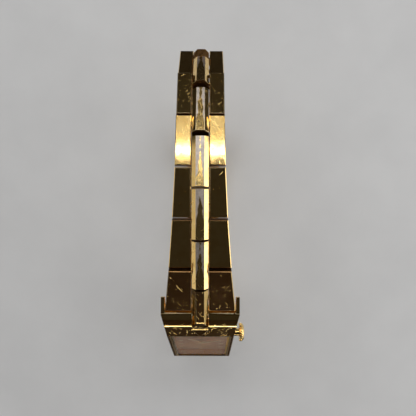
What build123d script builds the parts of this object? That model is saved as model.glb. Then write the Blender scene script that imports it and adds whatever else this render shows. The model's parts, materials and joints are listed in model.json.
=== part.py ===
from build123d import *
import os
from math import atan2, cos, degrees, hypot, pi, radians, sin

# A small rectangular bracelet watch, closed as it is worn, in millimetres.
# X runs along the wrist with the crown on +X, Z points up through the 12 o'clock half of the
# bracelet, and the case stands at the front, its dial facing -Y and tilted up.
# The origin is the middle of the loop.

os.makedirs("parts", exist_ok=True)

# Case: its place in the loop and its tilt
case_forward = 31.4
case_rise = 6.8
case_tilt = 59.3

# Case: outline, with the widths that it adds round the crystal
rim_side = 1.7
rim_end = 0.15
ridge_slope = 1.9
ridge_to_hinge = 1.1
ridge_drop = 0.85
hinge_depth = 3.3
edge_bevel_width = 1.0
edge_bevel_drop = 3.0
shoulder_out_share = 0.58
shoulder_fall_share = 0.385
lug_reach = 3.4
lug_fall = 2.75
lug_thickness = 0.7
lug_tip = 0.5
lug_gap = 0.15
wedge_width = 3.2
wedge_rise = 0.3

# Crystal and its seat, with how far it overlaps the cavity
crystal_side_overlap = 0.1
crystal_end_overlap = 0.3
crystal_thickness = 0.9
gasket_wall = 0.25
ledge_width = 0.5
corner_radius = 0.6

# Dial, hands and markers
dial_thickness = 0.4
dial_margin = 0.1
dial_hole = 0.65
marker_height = 0.12
marker_length = 1.0
marker_width = 0.28
marker_inset = 0.5
crystal_to_hand = 0.6
hand_step = 0.35
hand_thickness = 0.12
hour_hand_length = 3.4
minute_hand_length = 5.0
hand_width = 0.6
hand_tail = 0.9
hour_angle = 145.0
minute_angle = 28.0

# Holder and case back
holder_side = 0.8
holder_end = 1.0
holder_gap = 0.15
back_seal = 0.3
back_gap = 0.05
back_play = 0.03
back_inset = 0.2
back_proud = 0.2
back_side_step = 0.7
back_end_step = 0.9

# Movement: gears and arbors
tooth_size = 0.1
tooth_root_share = 1.1
tooth_tip_share = 0.8
root_width_share = 0.27
tip_width_share = 0.12
cannon_teeth = 10
minute_wheel_teeth = 30
small_pinion_teeth = 8
hour_wheel_teeth = 32
centre_wheel_teeth = 40
reduction_wheel_teeth = 48
wheel_thickness = 0.2
pinion_height = 0.28
arbor_radius = 0.12
journal_radius = 0.2
pipe_radius = 0.25
fit_gap = 0.06
wheel_gap = 0.15
wheel_play = 0.1
rotor_play = 0.05
recess_gap = 0.12
plate_web = 0.65
minute_wheel_turn = 150.0
reduction_turn = 120.0
rotor_turn = 60.0
rotor_radius = 0.7
rotor_thickness = 0.3

# Movement: coil, stator, board, battery and screws
battery_radius = 2.9
battery_thickness = 1.3
battery_edge = 0.3
coil_radius = 0.65
coil_inset = 1.4
coil_core_length = 9.2
coil_core_width = 0.8
coil_gap = 0.75
coil_end = 1.1
core_side = 0.6
core_thickness = 0.25
stator_thickness = 0.25
stator_ring = 1.5
stator_gap = 0.25
stator_bar = 1.0
tab_width = 1.1
board_width = 1.95
board_edge = 0.3
board_thickness = 0.15
strap_thickness = 0.12
strap_rise = 1.9
strap_edge = 1.0
bridge_thickness = 0.25
bridge_turn = 49.8
bridge_gap = 0.83
bridge_rise = 0.2
foot_radius = 0.5
foot_edge = 0.8
screw_radius = 0.25
screw_head_radius = 0.45
screw_head = 0.15
screw_grip = 0.5

# Crown and stem
crown_radius = 2.0
crown_length = 1.0
crown_gap = 0.9
crown_dome = 0.4
crown_flutes = 24
crown_flute_radius = 0.14
crown_bore = 1.15
crown_cap = 0.3
tube_radius = 0.85
tube_bore = 0.43
tube_reach = 1.3
seal_inset = 0.15
crown_seal_width = 0.25
seal_gap = 0.05
stem_radius = 0.35
stem_inner = 3.0

# Bracelet
link_pitch = 9.5
strap_width = 9.0
flare_length = 38.0
flare_power = 1.9
centre_width = 3.1
centre_gap = 0.13
link_gap = 0.28
link_thickness = 1.9
pin_height = 0.85
centre_rise = 0.85
centre_bevel = 0.75
bevel_foot = 0.12
link_chamfer = 0.12
overlap_share = 0.21
middle_share = 0.5
point_fall = 0.6
pin_radius = 0.4
pin_recess = 0.2
pin_clearance = 0.05
link_angle_12 = [25.4, 11.6, 4.0, -3.0, -20.0, -42.2, -75.0, -108.0, -136.0]
link_angle_6 = [-53.0, -32.0, -14.0, 0.0]

# Clasp, with heights above the line of the link pins
clasp_turn = 40.0
cover_top = 1.25
cover_plate = 0.6
cover_foot = -1.05
skirt_wall = 0.5
blade_side_gap = 0.15
blade_thickness = 0.5
middle_blade_foot = -0.15
inner_blade_foot = -0.95
knuckle_radius = 0.45
clasp_pin_radius = 0.22
clasp_clearance = 0.04
far_hinge_height = -0.3
near_end_radius = 1.15
far_end_radius = 1.55
knuckle_half = 1.35
blade_clear = 0.2
tongue_foot = -0.3
tongue_reach = 3.27
tongue_start_share = 0.7
eye_radius = 0.85
notch_gap = 0.25

# One length that any cut may run past a face
overrun = 1.0
right_angle = 90.0


def frame_at(point, heading, side):
    """A plane on the loop: x across, y along the heading, z away from the wrist."""
    turn = radians(heading)
    normal = (0, -side * sin(turn), side * cos(turn))
    return Plane(origin=(0, point[0], point[1]), x_dir=(side, 0, 0), z_dir=normal)


def side_of(frame, across=0):
    """The side view of a frame: sketch x runs along the frame's y, sketch y along its z."""
    start = frame.from_local_coords((across, 0, 0))
    return Plane(origin=start, x_dir=frame.y_dir, z_dir=frame.x_dir)


def section_of(frame, along):
    """The cross-section of a frame, seen looking along it."""
    start = frame.from_local_coords((0, along, 0))
    return Plane(origin=start, x_dir=frame.x_dir, z_dir=-frame.y_dir)


def step_on(point, heading, length):
    """The point one length further along a heading, in the YZ plane."""
    turn = radians(heading)
    return (point[0] + length * cos(turn), point[1] + length * sin(turn))


def save(shape, name):
    shape.label = name
    export_step(shape, "parts/" + name + ".step")


# Movement depths below the crystal's outer face, each from the one above it
minute_hand_depth = crystal_thickness + crystal_to_hand
hour_hand_depth = minute_hand_depth + hand_step
dial_depth = hour_hand_depth + hand_step
dial_bottom = dial_depth + dial_thickness
plate_top = dial_bottom
hour_wheel_depth = plate_top + wheel_gap
cannon_depth = hour_wheel_depth + wheel_thickness + wheel_play
recess_bottom = cannon_depth + pinion_height + recess_gap
plate_bottom = recess_bottom + plate_web
centre_wheel_depth = plate_bottom + wheel_play
reduction_depth = centre_wheel_depth + wheel_thickness + wheel_gap
rotor_depth = plate_bottom + rotor_play
bridge_depth = reduction_depth + wheel_thickness + wheel_gap
stem_depth = (plate_top + plate_bottom) / 2
battery_bottom = plate_bottom + battery_thickness
strap_bottom = battery_bottom + strap_thickness
cavity_depth = strap_bottom + screw_head + back_play
case_height = cavity_depth + back_seal + back_inset

# Centre distances of the wheels
minute_wheel_reach = tooth_size * (cannon_teeth + minute_wheel_teeth) / 2
minute_wheel_x = minute_wheel_reach * cos(radians(minute_wheel_turn))
minute_wheel_y = minute_wheel_reach * sin(radians(minute_wheel_turn))
reduction_reach = tooth_size * (centre_wheel_teeth + small_pinion_teeth) / 2
reduction_x = reduction_reach * cos(radians(reduction_turn))
reduction_y = reduction_reach * sin(radians(reduction_turn))
rotor_reach = tooth_size * (reduction_wheel_teeth + small_pinion_teeth) / 2
rotor_x = reduction_x + rotor_reach * cos(radians(rotor_turn))
rotor_y = reduction_y + rotor_reach * sin(radians(rotor_turn))

# Plate, cavity, crystal and case, each round the one before it
bar_low = rotor_y + rotor_radius
coil_rise = bar_low + stator_bar + coil_gap + coil_radius
coil_length = coil_core_length - 2 * coil_inset
plate_length = 2 * (coil_rise + coil_end)
plate_width = coil_core_length + 2 * core_side
battery_drop = plate_length / 2 - battery_edge - battery_radius
cavity_width = plate_width + 2 * holder_side
cavity_length = plate_length + 2 * holder_end
crystal_width = cavity_width + 2 * crystal_side_overlap
crystal_length = cavity_length + 2 * crystal_end_overlap
half_case = crystal_width / 2 + rim_side
half_rim = crystal_length / 2 + gasket_wall + rim_end
half_ridge = half_rim + ridge_slope
half_span = half_ridge + ridge_to_hinge
back_width = cavity_width + 2 * back_side_step
back_length = cavity_length + 2 * back_end_step

# Case frame: the origin is in the middle of the crystal's outer face
case_frame = frame_at((-case_forward, case_rise), case_tilt, 1)
case_side = side_of(case_frame)
hood_radius = overlap_share * link_pitch - link_gap / 2
slot_radius = hood_radius + link_gap
slot_half = centre_width / 2 + centre_gap
hood_end = half_span + hood_radius
hood_half = half_case - lug_thickness


def case_sheet(end, with_lug, across, depth):
    """Side outline of one half of the case, extruded across the wrist both ways."""
    hood_edge = (end * hood_end, -hinge_depth)
    shoulder_out = half_ridge + shoulder_out_share * (hood_end - half_ridge)
    shoulder = (end * shoulder_out, -ridge_drop - shoulder_fall_share * (hinge_depth - ridge_drop))
    under_hood = (end * half_span, -hinge_depth - hood_radius)
    with BuildSketch(side_of(case_frame, across)) as sheet:
        with BuildLine():
            Line((0, 0), (end * half_rim, 0))
            Line((end * half_rim, 0), (end * half_ridge, -ridge_drop))
            ThreePointArc((end * half_ridge, -ridge_drop), shoulder, hood_edge)
            if with_lug:
                lug_end = (end * (half_span + lug_reach), -hinge_depth - lug_fall)
                lug_back = (end * (half_span + lug_reach - 2 * lug_tip), -hinge_depth - lug_fall - lug_tip)
                Line(hood_edge, lug_end)
                Line(lug_end, lug_back)
                Line(lug_back, under_hood)
            else:
                low_mid = hood_radius * cos(pi / 4)
                ThreePointArc(hood_edge, (end * (half_span + low_mid), -hinge_depth - low_mid), under_hood)
            Line(under_hood, (end * (half_span - hood_radius), -case_height))
            Line((end * (half_span - hood_radius), -case_height), (0, -case_height))
            Line((0, -case_height), (0, 0))
        make_face()
    extrude(sheet.sketch, amount=depth, both=True)


def case_cut(deep, width, length, radius, amount):
    """A rounded rectangular recess in the case, cut outwards from a depth."""
    with BuildSketch(case_frame.offset(-deep)) as plan:
        RectangleRounded(width, length, radius)
    extrude(plan.sketch, amount=amount, mode=Mode.SUBTRACT)


def wedge_on(end):
    """The pointed wedge that carries the centre ridge onto the bevel."""
    base = end * (half_span - slot_radius / 3)
    tip = end * (half_rim - gasket_wall / 2)
    bend = end * half_ridge
    with BuildPart() as wedge:
        with BuildSketch(case_side):
            with BuildLine():
                Polyline(
                    (tip, -wedge_rise),
                    (tip, wedge_rise / 2),
                    (bend, wedge_rise - ridge_drop),
                    (base, wedge_rise / 2 - ridge_drop),
                    (base, -ridge_drop - wedge_rise),
                    close=True,
                )
            make_face()
        extrude(amount=wedge_width / 2, both=True)
        with BuildSketch(case_frame.offset(-2 * ridge_drop)):
            with BuildLine():
                Polyline(
                    (0, tip),
                    (wedge_width / 2, bend),
                    (wedge_width / 2, base),
                    (-wedge_width / 2, base),
                    (-wedge_width / 2, bend),
                    close=True,
                )
            make_face()
        extrude(amount=4 * ridge_drop, mode=Mode.INTERSECT)
    return wedge.part


wedges = [wedge_on(1), wedge_on(-1)]
stem_plane = Plane(
    origin=case_frame.from_local_coords((0, 0, -stem_depth)),
    x_dir=case_frame.y_dir,
    z_dir=case_frame.x_dir,
)

# Case middle: hoods between two side walls that end in lugs
with BuildPart() as case_middle:
    for end in (1, -1):
        case_sheet(end, False, 0, hood_half)
        for side in (1, -1):
            case_sheet(end, True, side * (half_case - lug_thickness / 2), lug_thickness / 2)
    # bevels along the two long edges
    for side in (1, -1):
        with BuildSketch(section_of(case_frame, half_span + lug_reach)):
            with BuildLine():
                Polyline(
                    (side * (half_case - edge_bevel_width), 0),
                    (side * half_case, -edge_bevel_drop),
                    (side * (half_case + overrun), -edge_bevel_drop),
                    (side * (half_case + overrun), overrun),
                    (side * (half_case - edge_bevel_width), overrun),
                    close=True,
                )
            make_face()
        extrude(amount=2 * (half_span + lug_reach), mode=Mode.SUBTRACT)
    for wedge in wedges:
        add(wedge)
    # crystal seat, sight opening, cavity and the step for the case back
    seat_width = crystal_width + 2 * gasket_wall
    seat_length = crystal_length + 2 * gasket_wall
    sight_width = crystal_width - 2 * ledge_width
    sight_length = crystal_length - 2 * ledge_width
    case_cut(crystal_thickness, seat_width, seat_length, corner_radius, crystal_thickness + overrun)
    case_cut(dial_depth, sight_width, sight_length, corner_radius, dial_depth)
    case_cut(case_height + overrun, cavity_width, cavity_length, corner_radius, case_height + overrun - dial_depth)
    case_cut(case_height + overrun, back_width, back_length, 2 * corner_radius, case_height + overrun - cavity_depth)
    # slots for the first centre links and the bores for their pins
    for end in (1, -1):
        with BuildSketch(case_side):
            with Locations((end * half_span, -hinge_depth)):
                Circle(slot_radius)
            with Locations((end * (half_span + lug_reach), -hinge_depth)):
                Rectangle(2 * lug_reach, 2 * slot_radius + 2 * case_height)
        extrude(amount=slot_half, both=True, mode=Mode.SUBTRACT)
        with BuildSketch(case_side):
            with Locations((end * half_span, -hinge_depth)):
                Circle(pin_radius)
        extrude(amount=half_case + overrun, both=True, mode=Mode.SUBTRACT)
    with BuildSketch(stem_plane):
        Circle(tube_radius)
    extrude(amount=half_case + overrun, mode=Mode.SUBTRACT)
save(case_middle.part, "case_middle")

# Pins that carry the first link of each half
with BuildPart() as case_pins:
    for end in (1, -1):
        with BuildSketch(case_side):
            with Locations((end * half_span, -hinge_depth)):
                Circle(pin_radius)
        extrude(amount=half_case - pin_recess, both=True)
save(case_pins.part, "case_pins")


def tray(deep, width, length, radius, height):
    """A rounded plate of the case stack, standing outwards from a depth."""
    with BuildSketch(case_frame.offset(-deep)) as plan:
        RectangleRounded(width, length, radius)
    extrude(plan.sketch, amount=height)


def round_bar(across, along, deep, radius, height, mode=Mode.ADD):
    """A round bar of the case stack, standing outwards from a depth."""
    with BuildSketch(case_frame.offset(-deep)) as plan:
        with Locations((across, along)):
            Circle(radius)
    extrude(plan.sketch, amount=height, mode=mode)


def gear(teeth, phase, across, along, deep, height):
    """A toothed wheel of the case stack, with one tooth centred on the phase angle."""
    pitch_radius = tooth_size * teeth / 2
    root = pitch_radius - tooth_root_share * tooth_size
    tip = pitch_radius + tooth_tip_share * tooth_size
    shape = ((-root_width_share, root), (-tip_width_share, tip), (tip_width_share, tip), (root_width_share, root))
    points = []
    for tooth in range(teeth):
        for share, radius in shape:
            angle = radians(phase + 360 * (tooth + share) / teeth)
            points.append((across + radius * cos(angle), along + radius * sin(angle)))
    with BuildSketch(case_frame.offset(-deep)) as plan:
        Polygon(*points, align=None)
    extrude(plan.sketch, amount=height)


def slab(points, deep, height, mode=Mode.ADD):
    """A flat piece of the case stack with straight edges, standing outwards from a depth."""
    with BuildSketch(case_frame.offset(-deep)) as plan:
        Polygon(*points, align=None)
    extrude(plan.sketch, amount=height, mode=mode)


# Crystal and its gasket
with BuildPart() as crystal:
    tray(crystal_thickness, crystal_width, crystal_length, corner_radius, crystal_thickness)
save(crystal.part, "crystal")

with BuildPart() as crystal_gasket:
    tray(crystal_thickness, seat_width, seat_length, corner_radius, crystal_thickness)
    case_cut(crystal_thickness, crystal_width, crystal_length, corner_radius, crystal_thickness)
save(crystal_gasket.part, "crystal_gasket")

# Dial and its markers
dial_width = cavity_width - 2 * dial_margin
dial_length = cavity_length - 2 * dial_margin
with BuildPart() as dial:
    tray(dial_bottom, dial_width, dial_length, corner_radius, dial_thickness)
    round_bar(0, 0, dial_bottom, dial_hole, dial_thickness, Mode.SUBTRACT)
save(dial.part, "dial")

with BuildPart() as hour_markers:
    marker_x = sight_width / 2 - marker_inset - marker_length / 2
    marker_y = sight_length / 2 - marker_inset - marker_length / 2
    side_step = 2 * marker_y / 5
    with BuildSketch(case_frame.offset(-dial_depth)):
        for side in (1, -1):
            with Locations(*[(side * marker_x, side_step * row) for row in (-2, -1, 0, 1, 2)]):
                Rectangle(marker_length, marker_width)
            with Locations((0, side * marker_y)):
                Rectangle(marker_width, marker_length)
    extrude(amount=marker_height)
save(hour_markers.part, "hour_markers")

# Motion work and hands


def hand_points(length, angle):
    """A tapered hand with a short tail, pointing at an angle on the dial."""
    outline = (
        (-hand_tail, -hand_width / 4),
        (length / 3, -hand_width / 2),
        (length, -hand_width / 6),
        (length, hand_width / 6),
        (length / 3, hand_width / 2),
        (-hand_tail, hand_width / 4),
    )
    turn = radians(angle)
    return [(x * cos(turn) - y * sin(turn), x * sin(turn) + y * cos(turn)) for x, y in outline]


with BuildPart() as minute_hand:
    slab(hand_points(minute_hand_length, minute_angle), minute_hand_depth + hand_thickness, hand_thickness)
    round_bar(0, 0, minute_hand_depth + hand_thickness, 2 * pipe_radius, hand_thickness)
    round_bar(0, 0, minute_hand_depth + hand_thickness, pipe_radius, hand_thickness, Mode.SUBTRACT)
save(minute_hand.part, "minute_hand")

pipe_outer = pipe_radius + fit_gap + arbor_radius
with BuildPart() as hour_hand:
    slab(hand_points(hour_hand_length, hour_angle), hour_hand_depth + hand_thickness, hand_thickness)
    round_bar(0, 0, hour_hand_depth + hand_thickness, 2 * pipe_radius + fit_gap, hand_thickness)
    round_bar(0, 0, hour_hand_depth + hand_thickness, pipe_outer, hand_thickness, Mode.SUBTRACT)
save(hour_hand.part, "hour_hand")

with BuildPart() as cannon_pinion:
    gear(cannon_teeth, minute_wheel_turn, 0, 0, cannon_depth + pinion_height, pinion_height)
    round_bar(0, 0, cannon_depth + pinion_height, pipe_radius, cannon_depth + pinion_height - minute_hand_depth)
    round_bar(0, 0, recess_bottom, arbor_radius, recess_bottom, Mode.SUBTRACT)
save(cannon_pinion.part, "cannon_pinion")

with BuildPart() as hour_wheel:
    gear(hour_wheel_teeth, minute_wheel_turn + 180 / hour_wheel_teeth, 0, 0,
         hour_wheel_depth + wheel_thickness, wheel_thickness)
    round_bar(0, 0, hour_wheel_depth + wheel_thickness, pipe_outer,
              hour_wheel_depth + wheel_thickness - hour_hand_depth)
    round_bar(0, 0, recess_bottom, pipe_radius + fit_gap, recess_bottom, Mode.SUBTRACT)
save(hour_wheel.part, "hour_wheel")

with BuildPart() as minute_wheel:
    back_turn = minute_wheel_turn + 180
    gear(minute_wheel_teeth, back_turn + 180 / minute_wheel_teeth, minute_wheel_x, minute_wheel_y,
         cannon_depth + wheel_thickness, wheel_thickness)
    gear(small_pinion_teeth, back_turn, minute_wheel_x, minute_wheel_y, cannon_depth, pinion_height)
    round_bar(minute_wheel_x, minute_wheel_y, plate_bottom - journal_radius, arbor_radius,
              plate_bottom - journal_radius - cannon_depth)
save(minute_wheel.part, "minute_wheel")

# Going train under the plate
arbor_top = (plate_top + plate_bottom) / 2
arbor_end = bridge_depth + bridge_thickness - fit_gap

with BuildPart() as centre_wheel:
    gear(centre_wheel_teeth, reduction_turn, 0, 0, centre_wheel_depth + wheel_thickness, wheel_thickness)
    round_bar(0, 0, centre_wheel_depth, journal_radius, centre_wheel_depth - recess_bottom)
    round_bar(0, 0, centre_wheel_depth, arbor_radius, centre_wheel_depth - minute_hand_depth - hand_thickness)
save(centre_wheel.part, "centre_wheel")

with BuildPart() as reduction_wheel:
    gear(reduction_wheel_teeth, rotor_turn, reduction_x, reduction_y,
         reduction_depth + wheel_thickness, wheel_thickness)
    gear(small_pinion_teeth, reduction_turn + 180 + 180 / small_pinion_teeth, reduction_x, reduction_y,
         reduction_depth, reduction_depth - centre_wheel_depth)
    round_bar(reduction_x, reduction_y, arbor_end, arbor_radius, arbor_end - arbor_top)
save(reduction_wheel.part, "reduction_wheel")

with BuildPart() as rotor:
    round_bar(rotor_x, rotor_y, rotor_depth + rotor_thickness, rotor_radius, rotor_thickness)
    gear(small_pinion_teeth, rotor_turn + 180 + 180 / small_pinion_teeth, rotor_x, rotor_y,
         reduction_depth + wheel_thickness, wheel_thickness + reduction_depth - rotor_depth - rotor_thickness)
    round_bar(rotor_x, rotor_y, arbor_end, arbor_radius, arbor_end - arbor_top)
save(rotor.part, "rotor")

# Screw places: two on the coil, two on the bridge, one on the battery strap
tab_x = (coil_core_length - tab_width) / 2
coil_screws = ((tab_x, coil_rise), (-tab_x, coil_rise))
bridge_reach = tooth_size * (centre_wheel_teeth / 2 + tooth_tip_share) + foot_radius + bridge_gap
bridge_feet = (
    (foot_edge - plate_width / 2, bridge_rise),
    (bridge_reach * cos(radians(bridge_turn)), bridge_reach * sin(radians(bridge_turn))),
)
strap_foot = (plate_width / 2 - strap_edge, strap_rise - battery_drop)

with BuildPart() as main_plate:
    tray(plate_bottom, plate_width, plate_length, corner_radius, plate_bottom - plate_top)
    hour_room = tooth_size * (hour_wheel_teeth / 2 + 1) + wheel_gap
    minute_room = tooth_size * (minute_wheel_teeth / 2 + 1) + wheel_gap
    round_bar(0, 0, recess_bottom, hour_room, recess_bottom, Mode.SUBTRACT)
    round_bar(minute_wheel_x, minute_wheel_y, recess_bottom, minute_room, recess_bottom, Mode.SUBTRACT)
    round_bar(0, 0, plate_bottom, journal_radius + fit_gap, plate_bottom, Mode.SUBTRACT)
    bore = arbor_radius + fit_gap
    round_bar(minute_wheel_x, minute_wheel_y, plate_bottom, bore, plate_bottom, Mode.SUBTRACT)
    round_bar(reduction_x, reduction_y, plate_bottom, bore, plate_bottom, Mode.SUBTRACT)
    round_bar(rotor_x, rotor_y, plate_bottom, bore, plate_bottom, Mode.SUBTRACT)
    for place in (*coil_screws, *bridge_feet, strap_foot):
        round_bar(*place, plate_bottom, screw_radius, screw_grip, Mode.SUBTRACT)
    with BuildSketch(stem_plane.offset(stem_inner - pin_clearance)):
        Circle(tube_bore)
    extrude(amount=plate_width, mode=Mode.SUBTRACT)
save(main_plate.part, "main_plate")

with BuildPart() as train_bridge:
    bridge_deep = bridge_depth + bridge_thickness
    for foot in bridge_feet:
        round_bar(*foot, bridge_deep, foot_radius, bridge_deep - plate_bottom)
    left, right = bridge_feet
    edge = foot_radius
    slab(
        ((left[0], left[1] - edge), (right[0], right[1] - edge), (right[0], right[1] + edge),
         (rotor_x + edge, rotor_y + edge), (rotor_x - edge, rotor_y + edge), (left[0], left[1] + edge)),
        bridge_deep, bridge_thickness,
    )
    round_bar(reduction_x, reduction_y, bridge_deep, bore, bridge_thickness, Mode.SUBTRACT)
    round_bar(rotor_x, rotor_y, bridge_deep, bore, bridge_thickness, Mode.SUBTRACT)
    for foot in bridge_feet:
        round_bar(*foot, bridge_deep, screw_radius, bridge_deep - plate_bottom, Mode.SUBTRACT)
save(train_bridge.part, "train_bridge")

stator_bottom = rotor_depth + stator_thickness
with BuildPart() as stator:
    round_bar(rotor_x, rotor_y, stator_bottom, stator_ring, stator_thickness)
    half_core = coil_core_length / 2
    slab(((-half_core, bar_low), (half_core, bar_low), (half_core, bar_low + stator_bar),
          (-half_core, bar_low + stator_bar)), stator_bottom, stator_thickness)
    for side in (1, -1):
        inner_x = side * (half_core - tab_width)
        slab(((inner_x, bar_low), (side * half_core, bar_low), (side * half_core, coil_rise + coil_core_width / 2),
              (inner_x, coil_rise + coil_core_width / 2)), stator_bottom, stator_thickness)
    round_bar(rotor_x, rotor_y, stator_bottom, rotor_radius + stator_gap, stator_thickness, Mode.SUBTRACT)
    for place in coil_screws:
        round_bar(*place, stator_bottom, screw_radius, stator_thickness, Mode.SUBTRACT)
save(stator.part, "stator")

with BuildPart() as coil:
    slab(((-half_core, coil_rise - coil_core_width / 2), (half_core, coil_rise - coil_core_width / 2),
          (half_core, coil_rise + coil_core_width / 2), (-half_core, coil_rise + coil_core_width / 2)),
         stator_bottom + core_thickness, core_thickness)
    coil_plane = Plane(
        origin=case_frame.from_local_coords((-coil_length / 2, coil_rise, -plate_bottom - fit_gap - coil_radius)),
        x_dir=case_frame.y_dir,
        z_dir=case_frame.x_dir,
    )
    with BuildSketch(coil_plane):
        Circle(coil_radius)
    extrude(amount=coil_length)
    for place in coil_screws:
        round_bar(*place, stator_bottom + core_thickness, screw_radius, core_thickness, Mode.SUBTRACT)
save(coil.part, "coil")

with BuildPart() as circuit_board:
    board_right = plate_width / 2 - board_edge
    board_left = board_right - board_width
    board_low = battery_radius + board_edge - battery_drop
    board_high = bar_low - board_edge
    slab(((board_left, board_low), (board_right, board_low), (board_right, board_high), (board_left, board_high)),
         plate_bottom + board_thickness, board_thickness)
save(circuit_board.part, "circuit_board")

with BuildPart() as battery:
    round_bar(0, -battery_drop, battery_bottom, battery_radius, battery_thickness)
save(battery.part, "battery")

with BuildPart() as battery_strap:
    half_strap = foot_radius
    slab(((-half_strap, -battery_drop), (0, -battery_drop - half_strap), (strap_foot[0], strap_foot[1] - half_strap),
          (strap_foot[0], strap_foot[1] + half_strap), (0, -battery_drop + half_strap)),
         strap_bottom, strap_thickness)
    round_bar(*strap_foot, strap_bottom, foot_radius, strap_bottom - plate_bottom)
    round_bar(*strap_foot, strap_bottom, screw_radius, strap_bottom - plate_bottom, Mode.SUBTRACT)
save(battery_strap.part, "battery_strap")


def screw(place, seat):
    """A screw whose head rests on a seat and whose shank reaches into the main plate."""
    round_bar(*place, seat + screw_head, screw_head_radius, screw_head)
    round_bar(*place, seat, screw_radius, seat - plate_bottom + screw_grip)


with BuildPart() as movement_screws:
    for place in coil_screws:
        screw(place, stator_bottom + core_thickness)
    for place in bridge_feet:
        screw(place, bridge_deep)
    screw(strap_foot, strap_bottom)
save(movement_screws.part, "movement_screws")

# Holder round the movement, case back and its gasket
with BuildPart() as movement_holder:
    tray(cavity_depth, cavity_width - 2 * holder_gap, cavity_length - 2 * holder_gap, corner_radius,
         cavity_depth - dial_bottom)
    case_cut(cavity_depth, plate_width, plate_length, corner_radius, cavity_depth)
    with BuildSketch(stem_plane):
        Circle(tube_bore)
    extrude(amount=half_case, mode=Mode.SUBTRACT)
save(movement_holder.part, "movement_holder")

with BuildPart() as back_gasket:
    seal_width = back_width - 2 * back_gap
    seal_length = back_length - 2 * back_gap
    tray(cavity_depth + back_seal, seal_width, seal_length, 2 * corner_radius, back_seal)
    case_cut(cavity_depth + back_seal, cavity_width, cavity_length, corner_radius, back_seal)
save(back_gasket.part, "back_gasket")

with BuildPart() as case_back:
    back_outside = case_height + back_proud
    tray(back_outside, seal_width, seal_length, 2 * corner_radius, back_outside - cavity_depth - back_seal)
    tray(back_outside, cavity_width - 2 * back_gap, cavity_length - 2 * back_gap, corner_radius,
         back_outside - cavity_depth)
    chamfer(case_back.faces().sort_by(Axis(case_frame.origin, case_frame.z_dir))[0].edges(), back_proud)
save(case_back.part, "case_back")

# Crown, its seal, the tube in the case and the stem
tube_end = half_case + tube_reach
crown_start = half_case + crown_gap
crown_end = crown_start + crown_length


def turned(start, finish, radius, mode=Mode.ADD):
    """A round length on the stem's axis, between two distances from the case's middle."""
    with BuildSketch(stem_plane.offset(start)) as ring:
        Circle(radius)
    extrude(ring.sketch, amount=finish - start, mode=mode)


with BuildPart() as crown_tube:
    turned(cavity_width / 2 + fit_gap, tube_end, tube_radius)
    turned(0, tube_end, tube_bore, Mode.SUBTRACT)
save(crown_tube.part, "crown_tube")

with BuildPart() as crown:
    turned(crown_start, crown_end, crown_radius)
    chamfer(crown.faces().sort_by(Axis(case_frame.origin, case_frame.x_dir))[-1].edges(), crown_dome)
    turned(crown_start, crown_end - crown_cap, crown_bore, Mode.SUBTRACT)
    with BuildSketch(stem_plane.offset(crown_start)):
        with PolarLocations(crown_radius, crown_flutes):
            Circle(crown_flute_radius)
    extrude(amount=crown_length, mode=Mode.SUBTRACT)
    turned(crown_end - crown_cap, crown_end - crown_cap / 2, stem_radius, Mode.SUBTRACT)
save(crown.part, "crown")

with BuildPart() as crown_seal:
    seal_start = crown_start + seal_inset
    turned(seal_start, seal_start + crown_seal_width, crown_bore - seal_gap)
    turned(seal_start, seal_start + crown_seal_width, tube_radius + seal_gap, Mode.SUBTRACT)
save(crown_seal.part, "crown_seal")

with BuildPart() as winding_stem:
    turned(stem_inner, crown_end - crown_cap / 2, stem_radius)
save(winding_stem.part, "winding_stem")

# Bracelet links
outer_inside = centre_width / 2 + centre_gap
overlap = overlap_share * link_pitch
link_top = link_thickness - pin_height
centre_top = link_top + centre_rise
rest = link_gap / 2


def half_width(distance):
    """Half the bracelet's width at a distance from the hood."""
    share = max(0, 1 - distance / flare_length)
    return strap_width / 2 + (hood_half - lug_gap - strap_width / 2) * share ** flare_power


def cross_bar(frame, along, high, radius, reach, mode=Mode.ADD):
    """A round bar across the wrist, both ways from the middle."""
    with BuildSketch(side_of(frame)) as end_view:
        with Locations((along, high)):
            Circle(radius)
    extrude(end_view.sketch, amount=reach, both=True, mode=mode)


def outer_pair(frame, number, name):
    """Two outer links and the two pins that they carry."""
    start = overlap + rest
    finish = overlap + link_pitch - rest
    near = half_width(number * link_pitch)
    far = half_width((number + 1) * link_pitch)
    with BuildPart() as pair:
        for side in (1, -1):
            with BuildSketch(frame.offset(-pin_height)) as plan:
                with BuildLine():
                    Polyline(
                        (side * outer_inside, start),
                        (side * near, start),
                        (side * far, finish),
                        (side * outer_inside, finish),
                        close=True,
                    )
                make_face()
            extrude(plan.sketch, amount=link_thickness)
        tops = pair.faces().sort_by(Axis(frame.origin, frame.z_dir))[-2:]
        chamfer(tops.edges(), link_chamfer)
        cross_bar(frame, middle_share * link_pitch, 0, pin_radius, 2 * half_case, Mode.SUBTRACT)
        cross_bar(frame, link_pitch, 0, pin_radius, 2 * half_case, Mode.SUBTRACT)
    pins = []
    for along in (middle_share * link_pitch, link_pitch):
        reach = near + (far - near) * (along - start) / (finish - start) - pin_recess
        with BuildPart() as pin:
            cross_bar(frame, along, 0, pin_radius, reach)
        pins.append(pin.part)
    save(Compound(children=[*pair.part.solids(), *[pin.solid() for pin in pins]]), name)


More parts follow.
